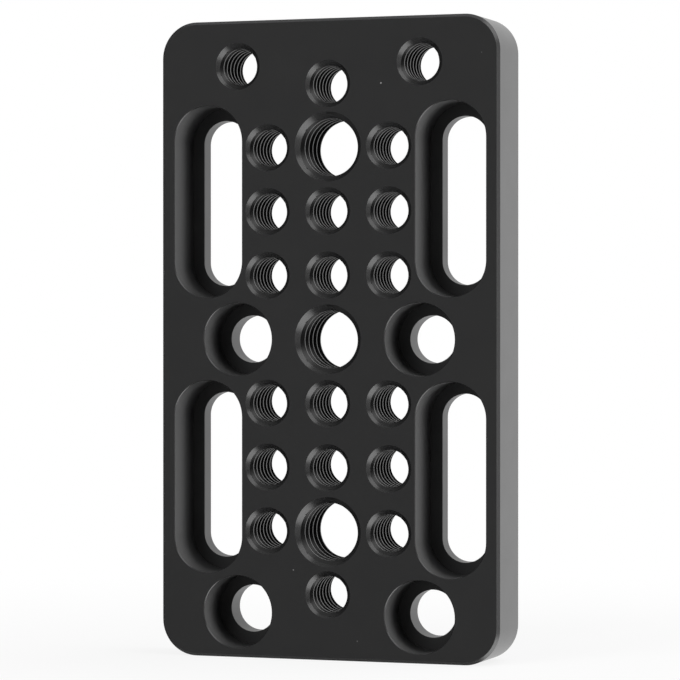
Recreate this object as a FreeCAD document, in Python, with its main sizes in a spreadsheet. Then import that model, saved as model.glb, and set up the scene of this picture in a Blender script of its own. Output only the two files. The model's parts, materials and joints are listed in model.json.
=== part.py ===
import FreeCAD, Part
import math
import os
import Sketcher

# Cheese plate: one machined plate with tapped holes, stepped screw holes and stepped slots.
# Millimetres, +Z up. The plate stands on its short end and its stepped side faces -Y.

doc = FreeCAD.newDocument("cheese_plate")

SIZES = (
    ("plate_thickness", 9.5, "front face to back face"),
    ("corner_radius", 5.0, "rounding of the four corners"),
    ("outer_chamfer", 0.4, "chamfer round the outline, front and back"),
    ("edge_break", 0.1, "small chamfer on the rims of the recesses"),
    ("hole_pitch", 8.8, "spacing of the hole grid, both ways"),
    ("end_gap", 8.6, "last grid row to the tapped hole near each end"),
    ("end_margin", 9.0, "tapped hole near each end to the end of the plate"),
    ("side_margin", 6.9, "middle line of a slot to the side of the plate"),
    ("corner_inset", 6.3, "corner hole to the end of the plate"),
    ("small_drill", 5.2, "bore of a 1/4-20 tapped hole"),
    ("small_sink", 0.65, "width of the countersink on a 1/4-20 hole"),
    ("large_drill", 8.0, "bore of a 3/8-16 tapped hole"),
    ("large_sink", 0.8, "width of the countersink on a 3/8-16 hole"),
    ("screw_hole", 6.6, "diameter of a plain screw hole and width of a slot"),
    ("head_seat", 1.7, "step under a screw head, each side of the screw"),
    ("hole_floor", 3.3, "metal left under the head in a round recess"),
    ("slot_floor", 2.5, "metal left under the head in a slot"),
    ("slot_start", 10.75, "middle of the plate to the nearest screw place in a slot"),
    ("slot_travel", 16.6, "distance a screw can move along a slot"),
)
sheet = doc.addObject("Spreadsheet::Sheet", "Sizes")
for row, (alias, number, meaning) in enumerate(SIZES, start=1):
    sheet.set("A%d" % row, alias)
    sheet.set("B%d" % row, str(number))
    sheet.set("C%d" % row, meaning)
    sheet.setAlias("B%d" % row, alias)
doc.recompute()

# Places and sizes that several sketches share, written on the sheet's names.
# Heights count from the lower end, columns from the upright middle line.
FIRST_ROW = "Sizes.end_margin + Sizes.end_gap"
MIDDLE = FIRST_ROW + " + 3 * Sizes.hole_pitch"
LENGTH = "2 * (" + MIDDLE + ")"
HALF_WIDTH = "2 * Sizes.hole_pitch + Sizes.side_margin"
TOP_HOLE = LENGTH + " - Sizes.end_margin"
TOP_CORNER = LENGTH + " - Sizes.corner_inset"
GRID_COLUMN = "Sizes.hole_pitch"
CORNER_COLUMN = "1.5 * Sizes.hole_pitch"
SLOT_COLUMN = "2 * Sizes.hole_pitch"
SLOT_END = "Sizes.slot_start + Sizes.slot_travel"
RECESS = "Sizes.screw_hole + 2 * Sizes.head_seat"
GRID_ROWS = [FIRST_ROW + " + %d * Sizes.hole_pitch" % step for step in range(7)]

body = doc.addObject("PartDesign::Body", "cheese_plate")
body.Label = "cheese_plate"
upright = [plane for plane in body.Origin.OriginFeatures if plane.Role == "XZ_Plane"][0]


def value_of(expression):
    return float(sheet.evalExpression(expression))


def new_sketch(name):
    sketch = body.newObject("Sketcher::SketchObject", name)
    sketch.AttachmentSupport = [(upright, "")]
    sketch.MapMode = "FlatFace"
    return sketch


def new_front_sketch(name):
    sketch = new_sketch(name)
    sketch.setExpression("AttachmentOffset.Base.z", "Sizes.plate_thickness / 2")
    return sketch


def bind(sketch, name, expression, kind, *points):
    constraint = Sketcher.Constraint(kind, *points, value_of(expression))
    index = sketch.addConstraint(constraint)
    sketch.renameConstraint(index, name)
    sketch.setExpression("Constraints." + name, expression)


def place_centre(sketch, curve, side, column, height, name):
    # side is -1, 0 or 1: left of, on or right of the upright middle line
    if side < 0:
        bind(sketch, name + "_across", column, "DistanceX", curve, 3, -1, 1)
    elif side > 0:
        bind(sketch, name + "_across", column, "DistanceX", -1, 1, curve, 3)
    else:
        sketch.addConstraint(Sketcher.Constraint("PointOnObject", curve, 3, -2))
    bind(sketch, name + "_up", height, "DistanceY", -1, 1, curve, 3)


def add_circle(sketch, name, side, column, height, diameter):
    centre = FreeCAD.Vector(side * value_of(column), value_of(height), 0)
    normal = FreeCAD.Vector(0, 0, 1)
    circle = Part.Circle(centre, normal, value_of(diameter) / 2)
    curve = sketch.addGeometry(circle)
    place_centre(sketch, curve, side, column, height, name)
    bind(sketch, name + "_diameter", diameter, "Diameter", curve)


def join_smoothly(sketch, curves):
    for first, second in zip(curves, curves[1:] + curves[:1]):
        sketch.addConstraint(Sketcher.Constraint("Tangent", first, 2, second, 1))


def add_slot(sketch, name, side, low, high, width):
    middle = side * value_of(SLOT_COLUMN)
    radius = value_of(width) / 2
    start = value_of(low)
    end = value_of(high)
    normal = FreeCAD.Vector(0, 0, 1)
    low_circle = Part.Circle(FreeCAD.Vector(middle, start, 0), normal, radius)
    high_circle = Part.Circle(FreeCAD.Vector(middle, end, 0), normal, radius)
    right_low = FreeCAD.Vector(middle + radius, start, 0)
    right_high = FreeCAD.Vector(middle + radius, end, 0)
    left_low = FreeCAD.Vector(middle - radius, start, 0)
    left_high = FreeCAD.Vector(middle - radius, end, 0)
    low_arc = sketch.addGeometry(Part.ArcOfCircle(low_circle, math.pi, 2 * math.pi))
    right = sketch.addGeometry(Part.LineSegment(right_low, right_high))
    high_arc = sketch.addGeometry(Part.ArcOfCircle(high_circle, 0, math.pi))
    left = sketch.addGeometry(Part.LineSegment(left_high, left_low))
    join_smoothly(sketch, [low_arc, right, high_arc, left])
    sketch.addConstraint(Sketcher.Constraint("Vertical", right))
    sketch.addConstraint(Sketcher.Constraint("Equal", low_arc, high_arc))
    place_centre(sketch, low_arc, side, SLOT_COLUMN, low, name)
    bind(sketch, name + "_high", high, "DistanceY", -1, 1, high_arc, 3)
    bind(sketch, name + "_width", width, "Diameter", low_arc)


def add_four_slots(sketch, width):
    lower_start = MIDDLE + " - (" + SLOT_END + ")"
    lower_end = MIDDLE + " - Sizes.slot_start"
    upper_start = MIDDLE + " + Sizes.slot_start"
    upper_end = MIDDLE + " + " + SLOT_END
    for side, word in ((-1, "left"), (1, "right")):
        add_slot(sketch, "lower_" + word, side, lower_start, lower_end, width)
        add_slot(sketch, "upper_" + word, side, upper_start, upper_end, width)


def check_feature(feature, volume_before):
    doc.recompute()
    bad_state = "Invalid" in feature.State or "Error" in feature.State
    if bad_state or feature.Shape.isNull() or not feature.Shape.isValid():
        raise RuntimeError("no sound shape from " + feature.Name)
    if volume_before is not None and feature.Shape.Volume > volume_before - 0.01:
        raise RuntimeError("nothing was cut by " + feature.Name)
    return feature.Shape.Volume


def rim_names(shape, keep):
    # names of the edges that lie flat in the front or back face and suit the given test
    half = value_of("Sizes.plate_thickness") / 2
    names = []
    for number, edge in enumerate(shape.Edges, start=1):
        box = edge.BoundBox
        on_face = abs(abs(box.Center.y) - half) < 1e-4 and box.YLength < 1e-4
        if on_face and keep(box):
            names.append("Edge%d" % number)
    return names


def add_chamfer(name, base, edges, size, volume_before):
    chamfer = body.newObject("PartDesign::Chamfer", name)
    chamfer.Base = (base, edges)
    chamfer.setExpression("Size", size)
    return chamfer, check_feature(chamfer, volume_before)


def add_hole(name, sketch, diameter):
    doc.recompute()
    hole = body.newObject("PartDesign::Hole", name)
    hole.Profile = sketch
    hole.ThreadType = "None"
    hole.DepthType = "ThroughAll"
    hole.DrillPoint = "Flat"
    hole.setExpression("Diameter", diameter)
    return hole


# Plate: rounded rectangle standing on its lower end, thickness either side of the middle.
outline = new_sketch("outline")
half_width = value_of(HALF_WIDTH)
length = value_of(LENGTH)
radius = value_of("Sizes.corner_radius")
normal = FreeCAD.Vector(0, 0, 1)
corners = (
    (half_width - radius, radius, -0.5),
    (half_width - radius, length - radius, 0.0),
    (radius - half_width, length - radius, 0.5),
    (radius - half_width, radius, 1.0),
)
arcs = []
for across, up, turn in corners:
    circle = Part.Circle(FreeCAD.Vector(across, up, 0), normal, radius)
    start = turn * math.pi
    arc = Part.ArcOfCircle(circle, start, start + math.pi / 2)
    arcs.append(outline.addGeometry(arc))
sides = []
for first, second in zip(arcs, arcs[1:] + arcs[:1]):
    start = outline.Geometry[first].EndPoint
    end = outline.Geometry[second].StartPoint
    sides.append(outline.addGeometry(Part.LineSegment(start, end)))
right_side, top_side, left_side, bottom_side = sides
join_smoothly(outline, [curve for pair in zip(arcs, sides) for curve in pair])
for side in (right_side, left_side):
    outline.addConstraint(Sketcher.Constraint("Vertical", side))
for side in (top_side, bottom_side):
    outline.addConstraint(Sketcher.Constraint("Horizontal", side))
for arc in arcs[1:]:
    outline.addConstraint(Sketcher.Constraint("Equal", arcs[0], arc))
outline.addConstraint(Sketcher.Constraint("PointOnObject", bottom_side, 1, -1))
bind(outline, "rounding", "Sizes.corner_radius", "Radius", arcs[0])
bind(outline, "right_reach", HALF_WIDTH, "DistanceX", -1, 1, right_side, 1)
bind(outline, "left_reach", HALF_WIDTH, "DistanceX", left_side, 1, -1, 1)
bind(outline, "height", LENGTH, "DistanceY", -1, 1, top_side, 1)
doc.recompute()

plate = body.newObject("PartDesign::Pad", "plate")
plate.Profile = outline
plate.Midplane = True
plate.setExpression("Length", "Sizes.plate_thickness")
volume = check_feature(plate, None)

outer_edges = rim_names(plate.Shape, lambda box: True)
outer, volume = add_chamfer("outer_chamfers", plate, outer_edges, "Sizes.outer_chamfer", volume)

# Stepped slots: a wide recess from the front for the screw head, a narrow slot for the screw.
recess_sketch = new_front_sketch("slot_recess_profiles")
add_four_slots(recess_sketch, RECESS)
slot_recesses = body.newObject("PartDesign::Pocket", "slot_recesses")
slot_recesses.Profile = recess_sketch
slot_recesses.setExpression("Length", "Sizes.plate_thickness - Sizes.slot_floor")
volume = check_feature(slot_recesses, volume)

slot_sketch = new_front_sketch("slot_profiles")
add_four_slots(slot_sketch, "Sizes.screw_hole")
slots = body.newObject("PartDesign::Pocket", "slots")
slots.Profile = slot_sketch
slots.Type = "ThroughAll"
volume = check_feature(slots, volume)

# Stepped screw holes: two beside the middle, two in the lower corners.
screw_sketch = new_front_sketch("screw_hole_places")
for side, word in ((-1, "left"), (1, "right")):
    places = (("middle_", MIDDLE), ("corner_", "Sizes.corner_inset"))
    for prefix, height in places:
        add_circle(screw_sketch, prefix + word, side, CORNER_COLUMN, height, RECESS)
screw_holes = add_hole("screw_holes", screw_sketch, "Sizes.screw_hole")
screw_holes.HoleCutType = "Counterbore"
screw_holes.HoleCutCustomValues = True
screw_holes.setExpression("HoleCutDiameter", RECESS)
screw_holes.setExpression("HoleCutDepth", "Sizes.plate_thickness - Sizes.hole_floor")
volume = check_feature(screw_holes, volume)


# The rims of the recesses in the front face get a small edge break.
def is_recess_rim(box):
    border = value_of("Sizes.outer_chamfer") + 0.001
    reach = max(abs(box.XMin), abs(box.XMax))
    end_gap = min(box.ZMin, value_of(LENGTH) - box.ZMax)
    inside = reach < value_of(HALF_WIDTH) - border and end_gap > border
    return inside and box.Center.y < 0


recess_rims = rim_names(screw_holes.Shape, is_recess_rim)
breaks, volume = add_chamfer("edge_breaks", screw_holes, recess_rims, "Sizes.edge_break", volume)


# Tapped holes at the size of the thread's crests, countersunk in front, then mirrored
# about the middle of the plate so that the back has the same countersinks.
def add_tapped_holes(name, sketch, drill, sink, volume_before):
    hole = add_hole(name, sketch, drill)
    hole.HoleCutType = "Countersink"
    hole.HoleCutCustomValues = True
    hole.HoleCutCountersinkAngle = 90
    hole.setExpression("HoleCutDiameter", drill + " + 2 * " + sink)
    volume_after = check_feature(hole, volume_before)
    back = body.newObject("PartDesign::Mirrored", name + "_from_behind")
    back.Originals = [hole]
    back.MirrorPlane = (upright, [""])
    body.Tip = back
    return check_feature(back, volume_after)


large_sketch = new_front_sketch("large_thread_places")
for step, word in ((0, "lower"), (3, "middle"), (6, "upper")):
    add_circle(large_sketch, word, 0, GRID_COLUMN, GRID_ROWS[step], "Sizes.large_drill")
volume = add_tapped_holes(
    "large_threads", large_sketch, "Sizes.large_drill", "Sizes.large_sink", volume
)

small_sketch = new_front_sketch("small_thread_places")
for step in (0, 1, 2, 4, 5, 6):
    for side, word in ((-1, "left"), (1, "right")):
        name = "row_%d_%s" % (step, word)
        add_circle(small_sketch, name, side, GRID_COLUMN, GRID_ROWS[step], "Sizes.small_drill")
for step in (1, 2, 4, 5):
    name = "row_%d_centre" % step
    add_circle(small_sketch, name, 0, GRID_COLUMN, GRID_ROWS[step], "Sizes.small_drill")
for name, height in (("low_end", "Sizes.end_margin"), ("high_end", TOP_HOLE)):
    add_circle(small_sketch, name, 0, GRID_COLUMN, height, "Sizes.small_drill")
for side, word in ((-1, "left"), (1, "right")):
    name = "corner_" + word
    add_circle(small_sketch, name, side, CORNER_COLUMN, TOP_CORNER, "Sizes.small_drill")
add_tapped_holes(
    "small_threads", small_sketch, "Sizes.small_drill", "Sizes.small_sink", volume
)

doc.recompute()
for item in doc.Objects:
    if "Invalid" in item.State or "Error" in item.State:
        raise RuntimeError(item.Name + " did not compute")
if body.Shape.isNull() or not body.Shape.isValid() or len(body.Shape.Solids) != 1:
    raise RuntimeError("the plate is not one sound solid")

os.makedirs("parts", exist_ok=True)
body.Shape.exportStep("parts/" + body.Label + ".step")
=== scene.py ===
import functools
import json
import math

import bmesh
import bpy
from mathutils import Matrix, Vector
from mathutils.geometry import delaunay_2d_cdt


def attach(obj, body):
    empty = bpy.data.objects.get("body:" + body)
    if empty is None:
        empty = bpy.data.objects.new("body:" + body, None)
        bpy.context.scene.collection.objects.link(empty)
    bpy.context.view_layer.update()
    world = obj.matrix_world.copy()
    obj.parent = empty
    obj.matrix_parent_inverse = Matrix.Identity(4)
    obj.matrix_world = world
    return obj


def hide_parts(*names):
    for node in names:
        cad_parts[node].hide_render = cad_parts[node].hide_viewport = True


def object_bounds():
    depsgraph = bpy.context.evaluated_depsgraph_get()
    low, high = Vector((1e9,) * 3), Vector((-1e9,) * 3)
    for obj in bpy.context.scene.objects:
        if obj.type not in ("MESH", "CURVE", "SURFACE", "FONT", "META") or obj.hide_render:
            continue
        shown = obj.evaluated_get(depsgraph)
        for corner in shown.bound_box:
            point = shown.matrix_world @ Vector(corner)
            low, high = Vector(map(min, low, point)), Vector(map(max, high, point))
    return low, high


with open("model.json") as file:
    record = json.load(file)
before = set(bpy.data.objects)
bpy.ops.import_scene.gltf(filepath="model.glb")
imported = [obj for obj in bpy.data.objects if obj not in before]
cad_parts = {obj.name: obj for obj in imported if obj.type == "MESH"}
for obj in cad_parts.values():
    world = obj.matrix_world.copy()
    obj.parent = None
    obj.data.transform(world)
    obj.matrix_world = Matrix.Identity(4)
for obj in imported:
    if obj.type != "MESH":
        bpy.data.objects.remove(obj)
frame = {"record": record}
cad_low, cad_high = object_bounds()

# The plate stands on its lower end, its stepped front face looks towards -Y. Metres.
MM = 0.001
INCH = 25.4 * MM
QUARTER_TURN = math.pi / 2

# The outline and thickness come from the frame, the hole places from the record's mounts.
WIDTH = cad_high[0] - cad_low[0]
THICKNESS = cad_high[1] - cad_low[1]
HEIGHT = cad_high[2] - cad_low[2]
FRONT = cad_low[1]
MIDDLE = (cad_low[2] + cad_high[2]) / 2

CORNER_RADIUS = 5.0 * MM
OUTER_CHAMFER = 0.4 * MM
EDGE_BREAK = 0.1 * MM
RECESS_RADIUS = 5.0 * MM
HOLE_RECESS_DEPTH = 6.2 * MM
SLOT_RECESS_DEPTH = 7.0 * MM

# Straight steps along a corner of the plate, round a screw hole and round an end of a slot.
CORNER_STEPS = 16
ROUND_STEPS = 72
SLOT_END_STEPS = 36
SHARP_ANGLE = math.radians(25)

# Standard pitches and diameters. All the holes of a size start their thread alike: first_crest is
# the depth of a crest's middle on the left of the hole. Columns are the steps of a turn.
SMALL_THREAD = {
    "pitch": INCH / 20,
    "root": INCH / 4 / 2,
    "sink": 0.65 * MM,
    "root_flat": 0.16 * MM,
    "first_crest": 0.21 * MM,
    "columns": 40,
}
LARGE_THREAD = {
    "pitch": INCH / 16,
    "root": INCH * 3 / 8 / 2,
    "sink": 0.8 * MM,
    "root_flat": 0.23 * MM,
    "first_crest": 0.38 * MM,
    "columns": 60,
}
# The light on the flanks in the photograph asks for flatter ones than the standard 30 degrees.
FLANK_SLOPE = math.tan(math.radians(37))
FLANK_STEPS = 4
# Turns laid out past each face of the plate, whose points fall together on the rims.
SPARE_TURNS = 1
# The left of a hole, as a share of a turn clockwise from its top.
LEFT = 0.75
# A thread's point this close to a face of the plate is one with the countersink's rim.
NEAR_RIM = 0.02 * MM

# What delaunay_2d_cdt needs: triangles within the outer loop only, and when points are the same.
INSIDE_ONLY = 1
SAME_POINT = 1e-9

# Kinds of surface, in the order of the plate's materials.
FACE, EDGE, RECESS, LEDGE, DRILLED, SUNK, TAPPED = range(7)

# Black anodised skins, one grey shade for each kind of surface. Only the face's shade is the skin's own:
# the lighter shades of the other kinds are painted light, the threads' darker shade is painted shade.
# Grain is the strength of the bumps, index the index of refraction.
SKIN_INDEX = 1.7
SKINS = {
    FACE: {"name": "anodised_face", "shade": 0.010, "roughness": 0.30, "grain": 0.25, "dusty": True},
    # the chamfers and edge breaks are lighter than the face: a painted highlight along the edges
    EDGE: {"name": "anodised_edge", "shade": 0.032, "roughness": 0.26, "grain": 0.2},
    # recess walls, ledges and drilled walls are lighter than the face: painted light in the cuts
    RECESS: {"name": "anodised_recess", "shade": 0.034, "roughness": 0.375, "grain": 0.2, "index": 1.5},
    LEDGE: {"name": "anodised_ledge", "shade": 0.019, "roughness": 0.39, "grain": 0.2, "index": 1.5},
    DRILLED: {"name": "anodised_drilled", "shade": 0.016, "roughness": 0.39, "grain": 0.2},
    # the countersinks are lighter than the threads: painted light on the cones; the threads are darker
    # than the face: painted shade in the grooves
    SUNK: {"name": "anodised_sunk", "shade": 0.014, "roughness": 0.26, "grain": 0.1},
    TAPPED: {"name": "anodised_tapped", "shade": 0.005, "roughness": 0.33, "grain": 0.1},
}
# Faint mottling of the shade and the roughness, and the height of the grain.
MOTTLE_SCALE = 240
MOTTLE_DETAIL = 4
MOTTLE_DARK = (0.8, 0.8, 0.85)
MOTTLE_LIGHT = (1.2, 1.2, 1.2)
MOTTLE_ROUGHNESS = 0.03
GRAIN_SCALE = 9000
GRAIN_DETAIL = 2
GRAIN_HEIGHT = 0.01 * MM

# Specks of dust on the front face: across, up and radius in millimetres.
DUST = ((7.7, 78.9, 0.17), (-5.0, 12.3, 0.12), (4.3, 2.8, 0.09), (22.0, 82.7, 0.08))
DUST_COLOUR = (0.35, 0.35, 0.35, 1)

# The floor goes from a share of white to full white between two distances from the plate's foot.
FLOOR_SIZE = 8
FLOOR_COLOUR = (0.85, 0.85, 0.85, 1)
FLOOR_ROUGHNESS = 0.9
FLOOR_FADE = (0.03, 0.16)
FLOOR_WHITE = 0.85

# Lights of the studio: direction, full and outer half angle in degrees, level.
STUDIO = {
    "backdrop": ((0.1, 1, -0.03), 20, 50, 1.12),
    "high_right": ((0.64, -0.22, 0.74), 17, 29, 1.75),
    "low_right": ((0.70, -0.02, -0.71), 19, 36, 3.0),
    "right": ((1, 0.28, -0.1), 32, 46, 0.85),
    "above": ((-0.1, -0.4, 0.91), 30, 55, 0.38),
    "below": ((-0.2, -0.2, -0.95), 30, 60, 0.22),
    "room": ((-0.6, -0.8, -0.05), 25, 80, 0.29),
}

# The photograph's camera: to the right of the plate and level with its middle. The lens and the
# sensor are in millimetres.
AZIMUTH = math.radians(19.364)
ELEVATION = math.radians(0.329)
DISTANCE = 440.95 * MM
AIM = Vector((1.80 * MM, FRONT, MIDDLE - 0.08 * MM))
LENS = 170.75
SENSOR = 36
NEAREST = 10 * MM


def mounts_named(prefix):
    return [mount for mount in frame["record"]["mounts"] if mount["name"].startswith(prefix)]


def hole_places(mount):
    """The holes of a mount lie half a spacing to either side of its middle."""
    across = mount["dims"].get("spacing_x_mm", 0) / 2 * MM
    along = mount["dims"].get("spacing_y_mm", 0) / 2 * MM
    x, _, z = mount["pos_m"]
    return sorted({(x + i * across, z + k * along) for i in (-1, 1) for k in (-1, 1)})


def hole_radius(mount):
    dims = mount["dims"]
    return dims.get("hole_r_mm", dims.get("r_mm")) * MM


def arc(x, z, radius, start, end, steps):
    """Points round a middle. Angles count clockwise from the top, seen from the front."""
    angles = [start + (end - start) * i / steps for i in range(steps + 1)]
    return [(x + radius * math.sin(a), z + radius * math.cos(a)) for a in angles]


def round_outline(x, z, radius):
    return arc(x, z, radius, 0, 4 * QUARTER_TURN, ROUND_STEPS)[:-1]


def slot_outline(x, z, half_travel, radius):
    top = arc(x, z + half_travel, radius, -QUARTER_TURN, QUARTER_TURN, SLOT_END_STEPS)
    bottom = arc(x, z - half_travel, radius, QUARTER_TURN, 3 * QUARTER_TURN, SLOT_END_STEPS)
    return top + bottom


def plate_outline(inset):
    reach_x = WIDTH / 2 - CORNER_RADIUS
    reach_z = HEIGHT / 2 - CORNER_RADIUS
    outline = []
    for number, (i, k) in enumerate(((1, 1), (1, -1), (-1, -1), (-1, 1))):
        x, z = i * reach_x, MIDDLE + k * reach_z
        start = number * QUARTER_TURN
        outline += arc(x, z, CORNER_RADIUS - inset, start, start + QUARTER_TURN, CORNER_STEPS)
    return outline


class PlateMesh:
    """Points and faces of the plate. Depth counts from the front face."""

    def __init__(self):
        self.points = []
        self.faces = []
        self.kinds = []

    def point(self, x, depth, z):
        self.points.append((x, FRONT + depth, z))
        return len(self.points) - 1

    def ring(self, outline, depth):
        return [self.point(x, depth, z) for x, z in outline]

    def face(self, corners, kind):
        """Adds a face, unless too few of its corners differ."""
        corners = list(dict.fromkeys(corners))
        if len(corners) > 2:
            self.faces.append(corners)
            self.kinds.append(kind)

    def strip(self, first, second, kind):
        count = len(first)
        for i in range(count):
            j = (i + 1) % count
            self.face((first[i], first[j], second[j], second[i]), kind)

    def wall(self, rings, kinds):
        for first, second, kind in zip(rings, rings[1:], kinds):
            self.strip(first, second, kind)

    def sheet(self, outer, holes, kind):
        """Fills a flat outer loop, around its holes, with triangles."""
        loops = [outer] + holes
        indices = [i for loop in loops for i in loop]
        owner = [number for number, loop in enumerate(loops) for _ in loop]
        flat = [Vector((self.points[i][0], self.points[i][2])) for i in indices]
        edges = []
        first = 0
        for loop in loops:
            count = len(loop)
            edges += [(first + i, first + (i + 1) % count) for i in range(count)]
            first += count
        _, _, triangles, sources, _, _ = delaunay_2d_cdt(flat, edges, [], INSIDE_ONLY, SAME_POINT)
        for triangle in triangles:
            corners = [sources[i][0] for i in triangle]
            owners = {owner[i] for i in corners}
            # a triangle with all its corners on one hole's rim lies inside that hole
            if len(owners) > 1 or owners == {0}:
                self.face([indices[i] for i in corners], kind)


def stepped_cut(mesh, outline, recess_depth, screw_radius):
    """A recess for a screw head with a narrower cut for the screw. Returns both rims."""
    rings = [
        mesh.ring(outline(RECESS_RADIUS + EDGE_BREAK), 0),
        mesh.ring(outline(RECESS_RADIUS), EDGE_BREAK),
        mesh.ring(outline(RECESS_RADIUS), recess_depth),
        mesh.ring(outline(screw_radius), recess_depth),
        mesh.ring(outline(screw_radius), THICKNESS - EDGE_BREAK),
        mesh.ring(outline(screw_radius + EDGE_BREAK), THICKNESS),
    ]
    mesh.wall(rings, (SUNK, RECESS, LEDGE, DRILLED, EDGE))
    return rings[0], rings[-1]


def thread_profile(thread, crest):
    """(height, radius) of the rows of one turn, from the start of the crest's flat."""
    depth = thread["root"] - crest
    flank = depth * FLANK_SLOPE
    crest_flat = thread["pitch"] - 2 * flank - thread["root_flat"]
    root_end = crest_flat + flank + thread["root_flat"]
    shares = [i / FLANK_STEPS for i in range(FLANK_STEPS)]
    into_root = [(crest_flat + flank * i, crest + depth * i) for i in shares]
    out_of_root = [(root_end + flank * i, thread["root"] - depth * i) for i in shares]
    return [(0, crest)] + into_root + [(crest_flat + flank, thread["root"])] + out_of_root


def tapped_hole(mesh, x, z, crest, thread):
    """A right-handed helical thread between two countersinks. Returns both rims."""
    profile = thread_profile(thread, crest)
    pitch, columns = thread["pitch"], thread["columns"]
    rim_radius = crest + thread["sink"]
    turns = math.ceil(THICKNESS / pitch) + 2 * SPARE_TURNS
    crest_middle = profile[1][0] / 2
    start = LEFT - (thread["first_crest"] - crest_middle) / pitch
    angles = [2 * math.pi * (start + i / columns) for i in range(columns)]
    spots = [(math.sin(a), math.cos(a)) for a in angles]
    rim = [(x + rim_radius * s, z + rim_radius * c) for s, c in spots]
    front_rim = mesh.ring(rim, 0)
    back_rim = mesh.ring(rim, THICKNESS)
    on_cone = set(front_rim + back_rim)
    known = {}

    def thread_point(row, column):
        """Depth and radius, and how far the thread lies outside the countersinks there."""
        turn, step = divmod(row, len(profile))
        height, radius = profile[step]
        depth = pitch * (turn - SPARE_TURNS + column / columns) + height
        return depth, radius, radius - rim_radius + min(depth, THICKNESS - depth)

    def add_point(row, column):
        depth, radius, gap = thread_point(row, column)
        radius -= min(gap, 0)
        for other in (row - 1, row + 1):
            far_depth, _, far_gap = thread_point(other, column)
            if gap * far_gap < 0 and abs(gap) < abs(far_gap):
                # the edge of the countersink is close by, and the point moves onto it
                depth += gap / (gap - far_gap) * (far_depth - depth)
                radius = rim_radius - min(depth, THICKNESS - depth)
                gap = 0
        if depth < NEAR_RIM:
            return front_rim[column]
        if depth > THICKNESS - NEAR_RIM:
            return back_rim[column]
        s, c = spots[column]
        index = mesh.point(x + radius * s, depth, z + radius * c)
        if gap <= 0:
            on_cone.add(index)
        return index

    def corner(row, column):
        # one column past the last is the first column, a whole turn further along
        spot = (row + len(profile) * (column // columns), column % columns)
        if spot not in known:
            known[spot] = add_point(*spot)
        return known[spot]

    for row in range(turns * len(profile)):
        for column in range(columns):
            corners = (
                corner(row, column),
                corner(row, column + 1),
                corner(row + 1, column + 1),
                corner(row + 1, column),
            )
            mesh.face(corners, SUNK if on_cone.issuperset(corners) else TAPPED)
    return front_rim, back_rim


def build_plate():
    mesh = PlateMesh()
    rims = []
    for mount in mounts_named("slots"):
        radius = hole_radius(mount)
        half_travel = mount["dims"]["slot_length_mm"] * MM / 2 - radius
        for x, z in hole_places(mount):
            outline = functools.partial(slot_outline, x, z, half_travel)
            rims.append(stepped_cut(mesh, outline, SLOT_RECESS_DEPTH, radius))
    for mount in mounts_named("screw_holes"):
        for x, z in hole_places(mount):
            outline = functools.partial(round_outline, x, z)
            rims.append(stepped_cut(mesh, outline, HOLE_RECESS_DEPTH, hole_radius(mount)))
    for prefix, thread in (("quarter", SMALL_THREAD), ("three_eighths", LARGE_THREAD)):
        for mount in mounts_named(prefix):
            for x, z in hole_places(mount):
                rims.append(tapped_hole(mesh, x, z, hole_radius(mount), thread))
    sides = [
        mesh.ring(plate_outline(OUTER_CHAMFER), 0),
        mesh.ring(plate_outline(0), OUTER_CHAMFER),
        mesh.ring(plate_outline(0), THICKNESS - OUTER_CHAMFER),
        mesh.ring(plate_outline(OUTER_CHAMFER), THICKNESS),
    ]
    mesh.wall(sides, (EDGE, FACE, EDGE))
    mesh.sheet(sides[0], [front for front, _ in rims], FACE)
    mesh.sheet(sides[-1], [back for _, back in rims], FACE)
    return mesh


def make_object(name, mesh, materials):
    data = bpy.data.meshes.new(name)
    data.from_pydata(mesh.points, [], mesh.faces)
    for material in materials:
        data.materials.append(material)
    data.polygons.foreach_set("material_index", mesh.kinds)
    work = bmesh.new()
    work.from_mesh(data)
    bmesh.ops.recalc_face_normals(work, faces=work.faces)
    work.to_mesh(data)
    work.free()
    data.shade_smooth()
    data.set_sharp_from_angle(angle=SHARP_ANGLE)
    piece = bpy.data.objects.new(name, data)
    bpy.context.scene.collection.objects.link(piece)
    return piece


def new_material(name):
    material = bpy.data.materials.new(name)
    material.use_nodes = True
    return material, material.node_tree.nodes, material.node_tree.links


def brightest(nodes, links, values):
    def brighter(first, second):
        most = nodes.new("ShaderNodeMath")
        most.operation = "MAXIMUM"
        links.new(first, most.inputs[0])
        links.new(second, most.inputs[1])
        return most.outputs["Value"]

    return functools.reduce(brighter, values)


def smooth_step(nodes, links, value, source, target):
    """Takes the two ends of the source range smoothly to those of the target range."""
    step = nodes.new("ShaderNodeMapRange")
    step.interpolation_type = "SMOOTHSTEP"
    step.inputs["From Min"].default_value, step.inputs["From Max"].default_value = source
    step.inputs["To Min"].default_value, step.inputs["To Max"].default_value = target
    links.new(value, step.inputs["Value"])
    return step.outputs["Result"]


def noise(nodes, links, place, scale, detail):
    texture = nodes.new("ShaderNodeTexNoise")
    texture.inputs["Scale"].default_value = scale
    texture.inputs["Detail"].default_value = detail
    links.new(place, texture.inputs["Vector"])
    return texture.outputs["Fac"]


def seen_directly(nodes, links):
    """1 for what the camera sees, also through clear things, and 0 for other rays."""
    path = nodes.new("ShaderNodeLightPath")
    return brightest(nodes, links, (path.outputs["Is Camera Ray"], path.outputs["Is Transmission Ray"]))


def dust_cover(nodes, links, place):
    """1 on the specks of dust and 0 elsewhere."""

    def speck(across, up, radius):
        distance = nodes.new("ShaderNodeVectorMath")
        distance.operation = "DISTANCE"
        distance.inputs[1].default_value = (across * MM, FRONT, up * MM)
        links.new(place, distance.inputs[0])
        return smooth_step(nodes, links, distance.outputs["Value"], (0, radius * MM), (1, 0))

    return brightest(nodes, links, [speck(*values) for values in DUST])


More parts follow.
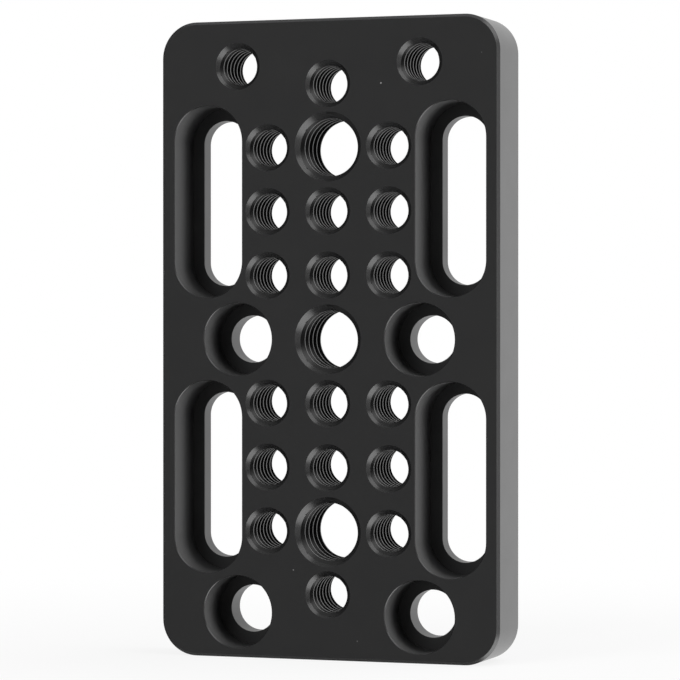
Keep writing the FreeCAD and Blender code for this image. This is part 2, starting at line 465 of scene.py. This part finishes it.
def anodised(name, shade, roughness, grain, index=SKIN_INDEX, dusty=False):
    """Black anodised aluminium: a dark, slightly glossy skin over fine blasted grain."""
    material, nodes, links = new_material(name)
    shader = nodes["Principled BSDF"]
    shader.inputs["IOR"].default_value = index
    place = nodes.new("ShaderNodeTexCoord").outputs["Object"]

    mottle = noise(nodes, links, place, MOTTLE_SCALE, MOTTLE_DETAIL)
    ramp = nodes.new("ShaderNodeValToRGB")
    for end, tint in zip(ramp.color_ramp.elements, (MOTTLE_DARK, MOTTLE_LIGHT)):
        end.color = (*(part * shade for part in tint), 1)
    links.new(mottle, ramp.inputs["Fac"])
    colour = ramp.outputs["Color"]
    if dusty:
        cover = nodes.new("ShaderNodeMixRGB")
        cover.inputs["Color2"].default_value = DUST_COLOUR
        links.new(dust_cover(nodes, links, place), cover.inputs["Fac"])
        links.new(colour, cover.inputs["Color1"])
        colour = cover.outputs["Color"]
    links.new(colour, shader.inputs["Base Color"])

    gloss = nodes.new("ShaderNodeMapRange")
    gloss.inputs["To Min"].default_value = roughness - MOTTLE_ROUGHNESS
    gloss.inputs["To Max"].default_value = roughness + MOTTLE_ROUGHNESS
    links.new(mottle, gloss.inputs["Value"])
    links.new(gloss.outputs["Result"], shader.inputs["Roughness"])

    bump = nodes.new("ShaderNodeBump")
    bump.inputs["Strength"].default_value = grain
    bump.inputs["Distance"].default_value = GRAIN_HEIGHT
    links.new(noise(nodes, links, place, GRAIN_SCALE, GRAIN_DETAIL), bump.inputs["Height"])
    links.new(bump.outputs["Normal"], shader.inputs["Normal"])
    return material


def floor_material():
    """Pale, turning white away from the plate for the camera only, so a shadow shows near it."""
    material, nodes, links = new_material("floor")
    shader = nodes["Principled BSDF"]
    shader.inputs["Base Color"].default_value = FLOOR_COLOUR
    shader.inputs["Roughness"].default_value = FLOOR_ROUGHNESS
    white = nodes.new("ShaderNodeEmission")
    place = nodes.new("ShaderNodeTexCoord")
    distance = nodes.new("ShaderNodeVectorMath")
    distance.operation = "LENGTH"
    links.new(place.outputs["Object"], distance.inputs[0])
    fade = smooth_step(nodes, links, distance.outputs["Value"], FLOOR_FADE, (FLOOR_WHITE, 1))
    share = nodes.new("ShaderNodeMath")
    share.operation = "MULTIPLY"
    links.new(fade, share.inputs[0])
    links.new(seen_directly(nodes, links), share.inputs[1])
    mix = nodes.new("ShaderNodeMixShader")
    links.new(share.outputs["Value"], mix.inputs["Fac"])
    links.new(shader.outputs["BSDF"], mix.inputs[1])
    links.new(white.outputs["Emission"], mix.inputs[2])
    links.new(mix.outputs["Shader"], nodes["Material Output"].inputs["Surface"])
    return material


def add_floor():
    bpy.ops.mesh.primitive_plane_add(size=FLOOR_SIZE)
    floor = bpy.context.object
    floor.name = "floor"
    floor.data.materials.append(floor_material())
    floor.visible_glossy = False


def add_world():
    """White for the camera. The plate sees the lights of the studio instead."""
    world = bpy.data.worlds.new("studio")
    bpy.context.scene.world = world
    world.use_nodes = True
    nodes, links = world.node_tree.nodes, world.node_tree.links
    place = nodes.new("ShaderNodeTexCoord")

    def glow(direction, full, outer, level):
        dot = nodes.new("ShaderNodeVectorMath")
        dot.operation = "DOT_PRODUCT"
        dot.inputs[1].default_value = Vector(direction).normalized()
        links.new(place.outputs["Generated"], dot.inputs[0])
        edges = math.cos(math.radians(outer)), math.cos(math.radians(full))
        return smooth_step(nodes, links, dot.outputs["Value"], edges, (0, level))

    strength = nodes.new("ShaderNodeMix")
    links.new(seen_directly(nodes, links), strength.inputs["Factor"])
    links.new(brightest(nodes, links, [glow(*values) for values in STUDIO.values()]), strength.inputs["A"])
    strength.inputs["B"].default_value = 1
    background = nodes["Background"]
    background.inputs["Color"].default_value = (1, 1, 1, 1)
    links.new(strength.outputs["Result"], background.inputs["Strength"])


def add_softbox(name, place, size, power):
    """A round lamp, in watts, that looks at the middle of the plate and isn't reflected."""
    lamp = bpy.data.lights.new(name, "AREA")
    lamp.shape = "DISK"
    lamp.size = size
    lamp.energy = power
    box = bpy.data.objects.new(name, lamp)
    box.location = place
    box.visible_glossy = False
    box.rotation_euler = (Vector((0, 0, MIDDLE)) - box.location).to_track_quat("-Z", "Y").to_euler()
    bpy.context.scene.collection.objects.link(box)


def add_camera():
    data = bpy.data.cameras.new("camera")
    data.sensor_width = SENSOR
    data.lens = LENS
    data.clip_start = NEAREST
    camera = bpy.data.objects.new("camera", data)
    across, towards = math.sin(AZIMUTH), -math.cos(AZIMUTH)
    level = math.cos(ELEVATION)
    back = Vector((across * level, towards * level, math.sin(ELEVATION)))
    camera.location = AIM + DISTANCE * back
    camera.rotation_euler = back.to_track_quat("Z", "Y").to_euler()
    bpy.context.scene.collection.objects.link(camera)
    bpy.context.scene.camera = camera


skins = [anodised(**SKINS[kind]) for kind in sorted(SKINS)]
plate = make_object("threaded_plate", build_plate(), skins)
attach(plate, "root")
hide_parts("cheese_plate")

add_floor()
add_world()
add_softbox("overhead", place=(0.4, 0.2, 0.9), size=0.7, power=4)
add_softbox("front_fill", place=(-0.4, -0.9, 0.5), size=0.6, power=6)
add_camera()
bpy.context.scene.view_settings.view_transform = "Standard"
